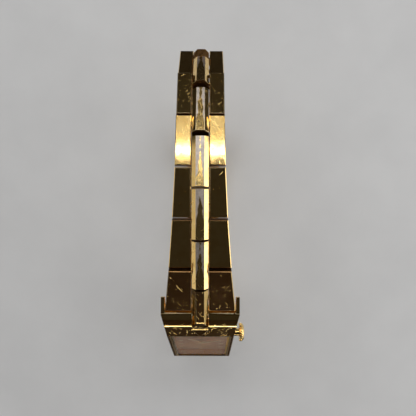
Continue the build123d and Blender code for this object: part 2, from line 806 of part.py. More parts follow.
def centre_link(frame, pointed, name):
    """The raised centre link: its start reaches into the neighbour nearer the case, or
    is pointed and round where it turns in the case."""
    start = rest - overlap
    finish = link_pitch - overlap - rest
    half = centre_width / 2
    with BuildPart() as middle:
        with BuildSketch(section_of(frame, finish)) as section:
            with BuildLine():
                Polyline(
                    (-half, -pin_height),
                    (half, -pin_height),
                    (half, link_top + bevel_foot),
                    (half - centre_bevel, centre_top),
                    (centre_bevel - half, centre_top),
                    (-half, link_top + bevel_foot),
                    close=True,
                )
            make_face()
        extrude(section.sketch, amount=finish - start)
        if pointed:
            with BuildSketch(side_of(frame)) as tip:
                Circle(centre_top)
                with Locations((finish, 0)):
                    Rectangle(2 * finish, 4 * centre_top)
            extrude(tip.sketch, amount=half, both=True, mode=Mode.INTERSECT)
            corner = start + point_fall
            with BuildSketch(frame.offset(-pin_height)) as plan:
                Polygon((0, start), (half, corner), (half, finish), (-half, finish), (-half, corner), align=None)
            extrude(plan.sketch, amount=pin_height + centre_top, mode=Mode.INTERSECT)
        cross_bar(frame, 0, 0, pin_radius + pin_clearance, half, Mode.SUBTRACT)
        cross_bar(frame, middle_share * link_pitch, 0, pin_radius, half, Mode.SUBTRACT)
    save(middle.part, name)


def lay_links(start, headings, side, half):
    """One half of the bracelet, from the case outwards; gives the place of its last pin."""
    point = start
    for number, heading in enumerate(headings):
        frame = frame_at(point, heading, side)
        outer_pair(frame, number, "outer_links_" + half + "_" + str(number + 1))
        centre_link(frame, number == 0, "centre_link_" + half + "_" + str(number + 1))
        point = step_on(point, heading, link_pitch)
    return point


def case_hinge(end):
    place = case_frame.from_local_coords((0, end * half_span, -hinge_depth))
    return (place.Y, place.Z)


far_pin = lay_links(case_hinge(1), link_angle_12, 1, "12")
near_pin = lay_links(case_hinge(-1), link_angle_6, -1, "6")

# Clasp: a curved line from the last pin of the 6 o'clock half to that of the 12 o'clock half
chord = hypot(far_pin[0] - near_pin[0], far_pin[1] - near_pin[1])
chord_heading = degrees(atan2(far_pin[1] - near_pin[1], far_pin[0] - near_pin[0]))
clasp_radius = chord / (2 * sin(radians(clasp_turn / 2)))
clasp_length = clasp_radius * radians(clasp_turn)
clasp_start = chord_heading - clasp_turn / 2
clasp_centre = step_on(near_pin, clasp_start + right_angle, clasp_radius)
clasp_side = Plane.YZ
near_hinge = overlap + rest + near_end_radius
far_hinge = clasp_length - overlap - rest - far_end_radius
near_hinge_height = cover_top - near_end_radius


def clasp_point(along, high):
    """A point of the side view, along the clasp from the 6 o'clock half's last pin."""
    heading = clasp_start + degrees(along / clasp_radius) - right_angle
    return step_on(clasp_centre, heading, clasp_radius + high)


def strip(start, finish, low, high):
    """A curved strip of the clasp's side view, in the current sketch."""
    first = clasp_start + degrees(start / clasp_radius) - right_angle
    size = degrees((finish - start) / clasp_radius)
    with BuildLine() as outline:
        CenterArc(clasp_centre, clasp_radius + high, first, size)
        CenterArc(clasp_centre, clasp_radius + low, first, size)
        Line(clasp_point(start, low), clasp_point(start, high))
        Line(clasp_point(finish, low), clasp_point(finish, high))
    make_face(outline.edges())


def disc_at(along, high, radius):
    with Locations(clasp_point(along, high)):
        Circle(radius)


def clasp_bore(along, high, radius, reach):
    """A round hole across the clasp, both ways from the middle."""
    with BuildSketch(clasp_side) as hole:
        disc_at(along, high, radius)
    extrude(hole.sketch, amount=reach, both=True, mode=Mode.SUBTRACT)


def clasp_block(start, finish, low, high, inner, outer, mode):
    """A curved block between two distances from the middle, on both sides."""
    for side in (1, -1):
        with BuildSketch(clasp_side.offset(side * (inner + outer) / 2)) as block:
            strip(start, finish, low, high)
        extrude(block.sketch, amount=(outer - inner) / 2, both=True, mode=mode)


half_clasp = strap_width / 2
half_room = half_clasp - skirt_wall
half_blade = half_room - blade_side_gap
plate_foot = cover_top - cover_plate
bridge_half = slot_half + notch_gap
near_reach = near_hinge + near_end_radius + notch_gap
pin_bore = clasp_pin_radius + clasp_clearance

with BuildPart() as clasp_cover:
    with BuildSketch(clasp_side):
        strip(near_hinge, far_hinge, cover_foot, cover_top)
        disc_at(near_hinge, near_hinge_height, near_end_radius)
        disc_at(far_hinge, far_hinge_height, far_end_radius)
    extrude(amount=half_clasp, both=True)
    with BuildSketch(clasp_side):
        strip(0, clasp_length, cover_foot, cover_top)
    extrude(amount=half_clasp, both=True, mode=Mode.INTERSECT)
    with BuildSketch(clasp_side):
        strip(0, clasp_length, cover_foot - overrun, plate_foot)
    extrude(amount=half_room, both=True, mode=Mode.SUBTRACT)
    with BuildSketch(clasp_side):
        strip(0, near_hinge + knuckle_radius, 0, cover_top + overrun)
    extrude(amount=bridge_half, both=True, mode=Mode.SUBTRACT)
    with BuildSketch(clasp_side):
        strip(far_hinge, clasp_length, plate_foot, link_top)
        strip(far_hinge + tongue_start_share * far_end_radius, clasp_length, tongue_foot, link_top)
    extrude(amount=centre_width / 2, both=True)
    with BuildSketch(clasp_side) as end_cut:
        strip(far_hinge, clasp_length + overrun, cover_foot - overrun, cover_top + overrun)
        with Locations(clasp_point(far_hinge, far_hinge_height)):
            Circle(tongue_reach, mode=Mode.SUBTRACT)
    extrude(amount=centre_width, both=True, mode=Mode.SUBTRACT)
    clasp_bore(near_hinge, near_hinge_height, pin_bore, half_clasp)
save(clasp_cover.part, "clasp_cover")

with BuildPart() as middle_blade:
    with BuildSketch(clasp_side):
        strip(near_hinge, far_hinge, middle_blade_foot, middle_blade_foot + blade_thickness)
        disc_at(near_hinge, near_hinge_height, knuckle_radius)
        disc_at(far_hinge, far_hinge_height, knuckle_radius)
    extrude(amount=half_blade, both=True)
    clasp_block(far_hinge - knuckle_radius - blade_clear, clasp_length, -overrun, overrun,
                knuckle_half, half_clasp, Mode.SUBTRACT)
    clasp_bore(near_hinge, near_hinge_height, clasp_pin_radius, half_clasp)
    clasp_bore(far_hinge, far_hinge_height, clasp_pin_radius, half_clasp)
save(middle_blade.part, "middle_blade")

with BuildPart() as inner_blade:
    with BuildSketch(clasp_side):
        strip(near_reach, far_hinge, inner_blade_foot, inner_blade_foot + blade_thickness)
        disc_at(far_hinge, far_hinge_height, knuckle_radius)
    extrude(amount=half_blade, both=True)
    with BuildSketch(clasp_side):
        strip(far_hinge - knuckle_radius - blade_clear, clasp_length, -2 * overrun, overrun)
    extrude(amount=knuckle_half + blade_side_gap, both=True, mode=Mode.SUBTRACT)
    with BuildSketch(clasp_side):
        strip(0, near_reach, inner_blade_foot, inner_blade_foot + blade_thickness)
        disc_at(0, 0, eye_radius)
    extrude(amount=centre_width / 2, both=True)
    clasp_bore(0, 0, pin_radius + pin_clearance, half_clasp)
    clasp_bore(far_hinge, far_hinge_height, pin_bore, half_clasp)
save(inner_blade.part, "inner_blade")

with BuildPart() as clasp_pins:
    with BuildSketch(clasp_side):
        disc_at(near_hinge, near_hinge_height, clasp_pin_radius)
    extrude(amount=half_clasp - blade_side_gap, both=True)
    with BuildSketch(clasp_side):
        disc_at(far_hinge, far_hinge_height, clasp_pin_radius)
    extrude(amount=half_blade, both=True)
save(clasp_pins.part, "clasp_pins")
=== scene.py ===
import json
from math import cos, radians, sin

import bmesh
import bpy
from mathutils import Matrix, Vector


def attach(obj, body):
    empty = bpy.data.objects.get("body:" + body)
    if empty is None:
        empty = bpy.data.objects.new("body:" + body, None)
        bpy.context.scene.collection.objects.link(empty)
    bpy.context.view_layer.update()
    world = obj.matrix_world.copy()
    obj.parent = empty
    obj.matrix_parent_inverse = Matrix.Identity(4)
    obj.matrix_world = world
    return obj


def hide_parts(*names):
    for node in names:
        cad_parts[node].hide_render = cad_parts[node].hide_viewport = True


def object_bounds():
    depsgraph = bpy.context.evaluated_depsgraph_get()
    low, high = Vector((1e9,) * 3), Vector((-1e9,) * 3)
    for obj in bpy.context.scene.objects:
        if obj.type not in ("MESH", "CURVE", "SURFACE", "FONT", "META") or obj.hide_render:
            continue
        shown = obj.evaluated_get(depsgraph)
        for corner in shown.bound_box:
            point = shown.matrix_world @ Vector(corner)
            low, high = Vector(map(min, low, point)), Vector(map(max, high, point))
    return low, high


# A small gold-tone rectangular bracelet watch, closed as it is worn, in metres.
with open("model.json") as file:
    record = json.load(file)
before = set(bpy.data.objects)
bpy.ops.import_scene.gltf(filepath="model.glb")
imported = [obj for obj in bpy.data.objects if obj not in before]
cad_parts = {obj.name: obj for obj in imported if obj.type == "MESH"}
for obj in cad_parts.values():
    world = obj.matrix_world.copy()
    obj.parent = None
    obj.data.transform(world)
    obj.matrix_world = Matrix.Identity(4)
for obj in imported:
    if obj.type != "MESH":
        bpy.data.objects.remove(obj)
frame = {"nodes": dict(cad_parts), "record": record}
cad_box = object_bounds()
nodes = frame["nodes"]
body_of_node = {
    node: body
    for body, held in frame["record"]["behaviour"]["bodies"].items()
    for node in held
}

mm = 0.001


# Materials

# the sockets of a Mix node, by number: its share, its two colours, and the colour it gives
mix_share = 0
mix_first = 6
mix_second = 7
mix_result = 2

# the two tones of the gold plating
gold_tone = (0.96, 0.68, 0.27)
gold_deep = (0.88, 0.58, 0.2)

# the name of the layout that the worn flats of the ridges are coloured by
ridge_layout = "ridge_place"


def new_finish(name):
    """A new material that holds only a shader: the material, its node tree and the shader."""
    finish = bpy.data.materials.new(name)
    finish.use_nodes = True
    tree = finish.node_tree
    tree.nodes.clear()
    output = tree.nodes.new("ShaderNodeOutputMaterial")
    shader = tree.nodes.new("ShaderNodeBsdfPrincipled")
    tree.links.new(shader.outputs["BSDF"], output.inputs["Surface"])
    return finish, tree, shader


def object_place(tree, stretch=(1, 1, 1), turn=(0, 0, 0), shift=(0, 0, 0)):
    """Object coordinates, shifted and turned, and then scaled up by the stretch."""
    coords = tree.nodes.new("ShaderNodeTexCoord")
    mapping = tree.nodes.new("ShaderNodeMapping")
    mapping.vector_type = "TEXTURE"
    mapping.inputs["Location"].default_value = shift
    mapping.inputs["Rotation"].default_value = turn
    mapping.inputs["Scale"].default_value = [1 / times for times in stretch]
    tree.links.new(coords.outputs["Object"], mapping.inputs["Vector"])
    return mapping.outputs["Vector"]


def noise(tree, place, scale, detail=3.0, rough=0.55, twist=0.0):
    """Cloudy noise, with about scale clouds to a unit of the place."""
    grain = tree.nodes.new("ShaderNodeTexNoise")
    grain.inputs["Scale"].default_value = scale
    grain.inputs["Detail"].default_value = detail
    grain.inputs["Roughness"].default_value = rough
    grain.inputs["Distortion"].default_value = twist
    tree.links.new(place, grain.inputs["Vector"])
    return grain.outputs["Fac"]


def ramp(tree, source, stops, smooth=False):
    """A colour ramp through (position, colour) stops, where a single number is a grey."""
    scale = tree.nodes.new("ShaderNodeValToRGB")
    if smooth:
        scale.color_ramp.interpolation = "EASE"
    points = scale.color_ramp.elements
    while len(points) < len(stops):
        points.new(0.5)
    for point, (position, colour) in zip(points, stops):
        point.position = position
        if not isinstance(colour, tuple):
            colour = (colour, colour, colour)
        point.color = (*colour, 1.0)
    tree.links.new(source, scale.inputs["Fac"])
    return scale.outputs["Color"]


def clouded(tree, clouds, dark, light):
    """A colour that wanders between a dark and a light tone with the clouds."""
    return ramp(tree, clouds, ((0.35, dark), (0.7, light)))


def spread(tree, source, low, high, from_low=0.0, from_high=1.0):
    """A value carried from one range to another."""
    scale = tree.nodes.new("ShaderNodeMapRange")
    scale.inputs["From Min"].default_value = from_low
    scale.inputs["From Max"].default_value = from_high
    scale.inputs["To Min"].default_value = low
    scale.inputs["To Max"].default_value = high
    tree.links.new(source, scale.inputs["Value"])
    return scale.outputs["Result"]


def fill(tree, value, socket):
    """Gives a socket a number, or links it to another node's output."""
    if isinstance(value, (int, float)):
        socket.default_value = value
    else:
        tree.links.new(value, socket)


def blended(tree, share, first, second, how="MIX"):
    """Two colours mixed by a share, or by one of the other mix ways."""
    mix = tree.nodes.new("ShaderNodeMix")
    mix.data_type = "RGBA"
    mix.blend_type = how
    fill(tree, share, mix.inputs[mix_share])
    fill(tree, first, mix.inputs[mix_first])
    fill(tree, second, mix.inputs[mix_second])
    return mix.outputs[mix_result]


def joined(tree, how, first, second):
    """Two values joined by a sum, a product or another of the Math node's ways."""
    sums = tree.nodes.new("ShaderNodeMath")
    sums.operation = how
    fill(tree, first, sums.inputs[0])
    fill(tree, second, sums.inputs[1])
    return sums.outputs["Value"]


def bumped(tree, shader, height, distance, strength):
    """Lets light fall as if the height pattern stood up by a distance."""
    bump = tree.nodes.new("ShaderNodeBump")
    bump.inputs["Distance"].default_value = distance
    bump.inputs["Strength"].default_value = strength
    tree.links.new(height, bump.inputs["Height"])
    tree.links.new(bump.outputs["Normal"], shader.inputs["Normal"])


def hairlines(tree, seed):
    """Fine random scratches: thin stretched noise, its grain turned a different way each time."""
    # the lean and turn of each set in radians, and its fineness across the scratches
    sets = ((0.0, 0.5, 7200), (0.0, -0.9, 8400), (0.7, 0.0, 7800), (-0.9, 0.3, 9200))
    drawn_out = 20
    lines = None
    for number, (lean, turn, fineness) in enumerate(sets):
        stretch = (fineness, fineness / drawn_out, fineness / drawn_out)
        shift = (seed * 3 + number, number * 5, seed)
        place = object_place(tree, stretch, (0, lean, turn), shift)
        grain = noise(tree, place, scale=1.0, detail=1.0)
        line = spread(tree, grain, 0.0, 1.0, from_low=0.68, from_high=0.8)
        lines = line if lines is None else joined(tree, "MAXIMUM", lines, line)
    return lines


def plating_clouds(tree, place):
    """The clouds that the plating's colour follows."""
    return noise(tree, place, scale=500.0, detail=5.0, rough=0.62)


def plating_colour(tree, clouds):
    """Gold that wanders between its two tones."""
    return ramp(tree, clouds, ((0.36, gold_deep), (0.62, gold_tone)), smooth=True)


def plain_metal(name, light, dark, rough, seed, streak=0.0):
    """A bare metal with a fine grain; streak draws the grain out along X."""
    finish, tree, shader = new_finish(name)
    grain_place = object_place(tree, stretch=(1 - streak, 1, 1), shift=(seed, 0, 0))
    grain = noise(tree, grain_place, scale=2600.0, detail=4.0, rough=0.6)
    clouds = noise(tree, object_place(tree, shift=(0, seed, 0)), scale=350.0)
    roughness = spread(tree, grain, rough * 0.75, rough * 1.3, from_low=0.3, from_high=0.7)
    tree.links.new(clouded(tree, clouds, dark, light), shader.inputs["Base Color"])
    tree.links.new(roughness, shader.inputs["Roughness"])
    shader.inputs["Metallic"].default_value = 1.0
    bumped(tree, shader, grain, distance=0.02 * mm, strength=0.5)
    return finish


def gold_plate(name, rough, scratch, seed):
    """Gold-tone plating: clouded colour, hairline scratches and a soft waviness."""
    finish, tree, shader = new_finish(name)
    place = object_place(tree, shift=(seed, seed * 2, 0))
    clouds = plating_clouds(tree, place)
    lines = hairlines(tree, seed)
    polish = spread(tree, clouds, rough * 1.4, rough * 0.75, from_low=0.3, from_high=0.7)
    roughness = joined(tree, "ADD", polish, joined(tree, "MULTIPLY", lines, scratch))
    tree.links.new(plating_colour(tree, clouds), shader.inputs["Base Color"])
    tree.links.new(roughness, shader.inputs["Roughness"])
    shader.inputs["Metallic"].default_value = 1.0
    waves = joined(tree, "MULTIPLY", noise(tree, place, scale=700.0, detail=2.0), 0.12)
    height = joined(tree, "SUBTRACT", waves, lines)
    bumped(tree, shader, height, distance=0.02 * mm, strength=0.4)
    return finish


def worn_ridge():
    """The flat of a ridge: grey steel shows round a tapering patch of gold that is left."""
    finish, tree, shader = new_finish("worn_ridge")
    layout = tree.nodes.new("ShaderNodeUVMap")
    layout.uv_map = ridge_layout
    shares = tree.nodes.new("ShaderNodeSeparateXYZ")
    tree.links.new(layout.outputs["UV"], shares.inputs["Vector"])
    share_across = shares.outputs["X"]
    share_along = shares.outputs["Y"]
    place = object_place(tree)
    patches = noise(tree, place, scale=650.0, detail=5.0, rough=0.6, twist=0.5)
    lines = hairlines(tree, seed=4.0)
    # gold is left where the distance from the middle is under a width that tapers along the link
    off_middle = joined(tree, "ABSOLUTE", joined(tree, "SUBTRACT", share_across, 0.5), 0.0)
    taper = spread(tree, share_along, 0.5, 0.02, from_low=0.12, from_high=0.8)
    # some links have kept more of their gold than others
    link_clouds = noise(tree, place, scale=75.0, detail=1.0)
    kept = spread(tree, link_clouds, -0.1, 0.2, from_low=0.35, from_high=0.65)
    width_left = joined(tree, "ADD", taper, kept)
    ragged = spread(tree, patches, -0.14, 0.14, from_low=0.3, from_high=0.7)
    past_edge = joined(tree, "SUBTRACT", joined(tree, "ADD", off_middle, ragged), width_left)
    worn = spread(tree, past_edge, 0.0, 1.0, from_low=-0.03, from_high=0.05)
    steel_clouds = noise(tree, place, scale=1500.0)
    bare_steel = clouded(tree, steel_clouds, dark=(0.5, 0.43, 0.38), light=(0.74, 0.65, 0.58))
    left_gold = plating_colour(tree, plating_clouds(tree, place))
    scratched = joined(tree, "MULTIPLY", lines, 0.18)
    roughness = joined(tree, "ADD", spread(tree, worn, 0.2, 0.48), scratched)
    tree.links.new(blended(tree, worn, left_gold, bare_steel), shader.inputs["Base Color"])
    tree.links.new(roughness, shader.inputs["Roughness"])
    shader.inputs["Metallic"].default_value = 1.0
    height = joined(tree, "SUBTRACT", patches, joined(tree, "MULTIPLY", lines, 0.4))
    bumped(tree, shader, height, distance=0.03 * mm, strength=0.6)
    return finish


def smooth_stuff(name, light, dark, rough, scale, seed):
    """A plastic, rubber or lacquer with slight clouding and a fine surface."""
    finish, tree, shader = new_finish(name)
    clouds = noise(tree, object_place(tree, shift=(seed, 0, 0)), scale, detail=4.0)
    roughness = spread(tree, clouds, rough * 0.85, rough * 1.15)
    tree.links.new(clouded(tree, clouds, dark, light), shader.inputs["Base Color"])
    tree.links.new(roughness, shader.inputs["Roughness"])
    grain = noise(tree, object_place(tree), scale=3200.0)
    bumped(tree, shader, grain, distance=0.01 * mm, strength=0.4)
    return finish


def wound_copper():
    """Enamelled wire wound round the coil: fine ridges across its length."""
    finish, tree, shader = new_finish("coil_wire")
    wave = tree.nodes.new("ShaderNodeTexWave")
    wave.inputs["Scale"].default_value = 4200.0
    wave.inputs["Distortion"].default_value = 0.4
    tree.links.new(object_place(tree), wave.inputs["Vector"])
    wires = wave.outputs["Fac"]
    tint = ramp(tree, wires, ((0.2, (0.36, 0.12, 0.04)), (0.8, (0.72, 0.32, 0.12))))
    tree.links.new(tint, shader.inputs["Base Color"])
    shader.inputs["Metallic"].default_value = 0.8
    shader.inputs["Roughness"].default_value = 0.35
    bumped(tree, shader, wires, distance=0.03 * mm, strength=0.8)
    return finish


def champagne_dial():
    """A champagne dial brushed along its length, browned to a warm copper by its old lacquer."""
    finish, tree, shader = new_finish("dial_champagne")
    brush_place = object_place(tree, stretch=(60, 1, 1))
    brush = noise(tree, brush_place, scale=160.0, detail=5.0, rough=0.7)
    clouds = noise(tree, object_place(tree), scale=190.0, detail=4.0)
    lacquer = ramp(tree, clouds, ((0.3, (0.74, 0.36, 0.15)), (0.72, (0.90, 0.52, 0.27))))
    brush_marks = ramp(tree, brush, ((0.3, 0.45), (0.7, 1.0)))
    tint = blended(tree, 0.4, lacquer, brush_marks, "MULTIPLY")
    tree.links.new(tint, shader.inputs["Base Color"])
    tree.links.new(spread(tree, brush, 0.35, 0.55), shader.inputs["Roughness"])
    shader.inputs["Metallic"].default_value = 0.15
    shader.inputs["Specular IOR Level"].default_value = 0.15
    bumped(tree, shader, brush, distance=0.01 * mm, strength=0.6)
    return finish


def clear_crystal():
    """Mineral glass with a few faint hairlines in its polish; its low index keeps the dial in view."""
    finish, tree, shader = new_finish("crystal_glass")
    shader.inputs["Base Color"].default_value = (0.98, 0.93, 0.85, 1.0)
    shader.inputs["Transmission Weight"].default_value = 1.0
    shader.inputs["IOR"].default_value = 1.3
    lines = hairlines(tree, seed=6.0)
    tree.links.new(spread(tree, lines, 0.01, 0.07), shader.inputs["Roughness"])
    return finish


gold = gold_plate("gold_plating", rough=0.08, scratch=0.1, seed=1.0)
# painted shade: a dark brown gold on the link ends and the sides that face the gaps, standing in for the
# shade between the links
painted_gap_shade = plain_metal("painted_gap_shade", (0.34, 0.19, 0.07), (0.2, 0.1, 0.04), rough=0.32, seed=2.0)
worn_gold = worn_ridge()
rubbed_gold = plain_metal("rubbed_gold", (1.0, 0.8, 0.48), (0.95, 0.7, 0.36), rough=0.3, seed=11.0)

steel = plain_metal("brushed_steel", (0.66, 0.65, 0.63), (0.5, 0.49, 0.48), rough=0.3, seed=3.0, streak=0.9)
pin_steel = plain_metal("pin_steel", (0.62, 0.58, 0.5), (0.45, 0.42, 0.36), rough=0.25, seed=5.0)
movement_steel = plain_metal("movement_steel", (0.68, 0.68, 0.7), (0.55, 0.55, 0.57), rough=0.34, seed=6.0,
                             streak=0.8)
wheel_brass = plain_metal("wheel_brass", (0.85, 0.66, 0.32), (0.66, 0.48, 0.2), rough=0.28, seed=7.0)
hand_gold = plain_metal("hand_gold", (1.0, 0.86, 0.6), (0.92, 0.72, 0.42), rough=0.42, seed=8.0)
cell_steel = plain_metal("cell_steel", (0.74, 0.74, 0.75), (0.62, 0.62, 0.63), rough=0.2, seed=9.0)
magnet_black = plain_metal("magnet", (0.16, 0.16, 0.17), (0.1, 0.1, 0.11), rough=0.4, seed=10.0)

gasket_black = smooth_stuff("gasket_rubber", (0.035, 0.03, 0.028), (0.015, 0.013, 0.012), rough=0.5,
                            scale=900.0, seed=1.0)
gasket_amber = smooth_stuff("crystal_gasket_nylon", (0.34, 0.24, 0.12), (0.22, 0.15, 0.07), rough=0.35,
                            scale=900.0, seed=4.0)
holder_white = smooth_stuff("holder_plastic", (0.78, 0.77, 0.73), (0.68, 0.67, 0.63), rough=0.45,
                            scale=700.0, seed=2.0)
board_green = smooth_stuff("circuit_board", (0.03, 0.14, 0.07), (0.015, 0.08, 0.04), rough=0.4,
                           scale=1200.0, seed=3.0)
coil_copper = wound_copper()
dial_finish = champagne_dial()
crystal_glass = clear_crystal()


# Shapes

# the dial leans forward, and the hoods' edges are told by their place from its middle
dial_lean = radians(59.3)
dial_centre = Vector((0, -31.4, 6.8)) * mm
dial_up = Vector((0, cos(dial_lean), sin(dial_lean)))
dial_out = Vector((0, -sin(dial_lean), cos(dial_lean)))

# the links' ridges are laid out away from the case
case_corners = [Vector(corner) for corner in nodes["case_middle"].bound_box]
case_centre = sum(case_corners, Vector()) / len(case_corners)

# each hood's rounded edges: reach along the dial, height over it, and width of the rounding
hood_back_reach = 15.26 * mm
hood_back_height = -3.3 * mm
hood_back_rounding = 0.22 * mm
wedge_side_reach = 11.29 * mm
wedge_side_height = -0.2 * mm
wedge_side_rounding = 0.14 * mm
edge_tolerance = 0.2 * mm

# how much of an edge's run is sideways, on the back edge and on the wedge's slanting sides
straight_across_shares = (0.99, 1.01)
slanting_shares = (0.4, 0.8)

# the flats on the centre links' ridges are narrow and large
ridge_half_width = 0.9 * mm
least_ridge_area = 2 * mm * mm

# where centre and outer links face each other, their sides lie this near the middle
gap_side_reach = 2.2 * mm

# how much of a face's normal points along or across a link, when it counts as facing there or not
faces_along_share = 0.3
faces_across_share = 0.9
level_share = 0.01

# the numbers of the finishes on a gold piece; the gap number is the painted shade between the links
plated_number = 0
painted_shade_number = 1
rubbed_number = 2
worn_number = 3

# links whose ridges have kept all their gold
unworn_links = ("centre_link_12_1", "centre_link_6_1")


def run_of(edge):
    """The direction in which an edge runs."""
    return (edge.verts[1].co - edge.verts[0].co).normalized()


def longest_edge(face):
    return max(face.edges, key=lambda edge: edge.calc_length())


def shaded(piece, crease=35):
    """Smooths a piece's faces, keeps its true corners and leaves its flat faces flat."""
    shape = bmesh.new()
    shape.from_mesh(piece.data)
    for face in shape.faces:
        face.smooth = True
    for edge in shape.edges:
        edge.smooth = edge.is_manifold and edge.calc_face_angle(0.0) < radians(crease)
    shape.to_mesh(piece.data)
    shape.free()
    weighted = piece.modifiers.new("flat_faces_first", "WEIGHTED_NORMAL")
    weighted.keep_sharp = True


def new_piece(name, shape, *finishes):
    """A mesh object made from a shape, which is used up, with its finishes in their order."""
    data = bpy.data.meshes.new(name)
    shape.to_mesh(data)
    shape.free()
    piece = bpy.data.objects.new(name, data)
    bpy.context.scene.collection.objects.link(piece)
    for finish in finishes:
        data.materials.append(finish)
    return piece


def merged_copy(node, same_point=0.0001 * mm, flat_within=1.5):
    """The CAD part's mesh with its loose triangles joined and its flat faces made whole."""
    shape = bmesh.new()
    shape.from_mesh(nodes[node].data)
    bmesh.ops.remove_doubles(shape, verts=shape.verts, dist=same_point)
    bmesh.ops.dissolve_limit(shape, angle_limit=radians(flat_within), verts=shape.verts, edges=shape.edges)
    return shape


def mark_gap_shade_faces(shape):
    """Gives the faces that meet other links a dark brown gold: painted shade between the links."""
    widest = max(shape.faces, key=lambda face: face.calc_area())
    along = run_of(longest_edge(widest))
    for face in shape.faces:
        is_end = abs(face.normal.dot(along)) > faces_along_share
        is_side = abs(face.normal.x) > faces_across_share
        near_middle = abs(face.calc_center_median().x) < gap_side_reach
        if is_end or (is_side and near_middle):
            face.material_index = painted_shade_number


def rounded_off(shape, edges, width, segments):
    """Rounds the edges and returns the faces of the roundings."""
    made = bmesh.ops.bevel(shape, geom=edges, offset=width, offset_type="OFFSET", affect="EDGES",
                           segments=segments, profile=0.5, material=-1, clamp_overlap=True)
    return made["faces"]


def hood_edges(shape, reach, height, across_shares):
    """The hoods' convex edges at a reach and height from the dial's middle that run sideways as told."""
    least_across, most_across = across_shares
    found = []
    for edge in shape.edges:
        middle = (edge.verts[0].co + edge.verts[1].co) / 2 - dial_centre
        in_reach = abs(abs(middle.dot(dial_up)) - reach) < edge_tolerance
        at_height = abs(middle.dot(dial_out) - height) < edge_tolerance
        as_told = least_across < abs(run_of(edge).x) < most_across
        if in_reach and at_height and as_told and edge.is_convex:
            found.append(edge)
    return found


def round_hoods(shape):
    """Fuller rubbed roundings on the hoods' back edges and on the sides of their wedges."""
    for reach, height, across_shares, width in (
        (hood_back_reach, hood_back_height, straight_across_shares, hood_back_rounding),
        (wedge_side_reach, wedge_side_height, slanting_shares, wedge_side_rounding),
    ):
        edges = hood_edges(shape, reach, height, across_shares)
        for face in rounded_off(shape, edges, width, segments=5):
            face.material_index = rubbed_number


def round_corners(shape, width, segments, sharp, corner_number):
    """Rounds every edge that turns sharply, and finishes the roundings outside the gaps."""
    corners = [edge for edge in shape.edges
               if edge.is_manifold and edge.calc_face_angle(0.0) > radians(sharp)]
    for face in rounded_off(shape, corners, width, segments):
        if face.material_index != painted_shade_number:
            face.material_index = corner_number


def softened(node, finish, width, segments=2, sharp=28, gap_shade_paint=None):
    """A machined part with its sharp edges polished round, in place of the plain one."""
    shape = merged_copy(node)
    # the faces between links get the painted shade
    if gap_shade_paint:
        mark_gap_shade_faces(shape)
    if node == "case_middle":
        round_hoods(shape)
    if finish == gold:
        finishes = (gold, gap_shade_paint or gold, rubbed_gold)
        corner_number = rubbed_number
    else:
        finishes = (finish,)
        corner_number = plated_number
    round_corners(shape, width, segments, sharp, corner_number)
    piece = new_piece(node + "_polished", shape, *finishes)
    shaded(piece)
    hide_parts(node)
    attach(piece, body_of_node[node])


def is_ridge_flat(face):
    """Tells whether a face is a large narrow flat along the middle of a centre link."""
    level = abs(face.normal.x) < level_share
    large = face.calc_area() > least_ridge_area
    narrow = max(abs(corner.co.x) for corner in face.verts) < ridge_half_width
    return level and large and narrow


def lay_out_flat(face, layout):
    """Lays a flat out in shares: X across the link, and Y along it, away from the case."""
    along = run_of(longest_edge(face))
    if along.dot(case_centre - face.calc_center_median()) > 0:
        along = -along
    places = [corner.vert.co.dot(along) for corner in face.loops]
    near_end = min(places)
    far_end = max(places)
    half_width = max(abs(corner.vert.co.x) for corner in face.loops)
    for corner in face.loops:
        share_across = 0.5 + corner.vert.co.x / half_width / 2
        share_along = (corner.vert.co.dot(along) - near_end) / (far_end - near_end)
        corner[layout].uv = (share_across, share_along)


def ridge_link(node, width=0.06 * mm, segments=3, sharp=28):
    """A polished centre link whose ridge is laid out for its worn finish."""
    shape = merged_copy(node)
    layout = shape.loops.layers.uv.new(ridge_layout)
    # the faces between links get the painted shade
    mark_gap_shade_faces(shape)
    for face in shape.faces:
        if is_ridge_flat(face):
            face.material_index = plated_number if node in unworn_links else worn_number
            lay_out_flat(face, layout)
    round_corners(shape, width, segments, sharp, rubbed_number)
    piece = new_piece(node + "_polished", shape, gold, painted_gap_shade, rubbed_gold, worn_gold)
    shaded(piece)
    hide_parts(node)
    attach(piece, body_of_node[node])


def dress(node, finish):
    """A CAD part that keeps its shape and gets its own finish."""
    part = nodes[node]
    part.data.materials.clear()
    part.data.materials.append(finish)


softened("case_middle", gold, width=0.12 * mm, segments=3, sharp=18)
for node in sorted(nodes):
    if node.startswith("outer_links_"):
        # the outer links carry painted shade on their faces between the links
        softened(node, gold, width=0.05 * mm, gap_shade_paint=painted_gap_shade)
    elif node.startswith("centre_link_"):
        ridge_link(node)
softened("clasp_cover", gold, width=0.06 * mm)
softened("crown", gold, width=0.04 * mm)
softened("case_back", steel, width=0.08 * mm)
softened("inner_blade", steel, width=0.04 * mm)
softened("middle_blade", steel, width=0.04 * mm)
softened("crystal", crystal_glass, width=0.12 * mm, segments=3)
softened("hour_markers", hand_gold, width=0.03 * mm)

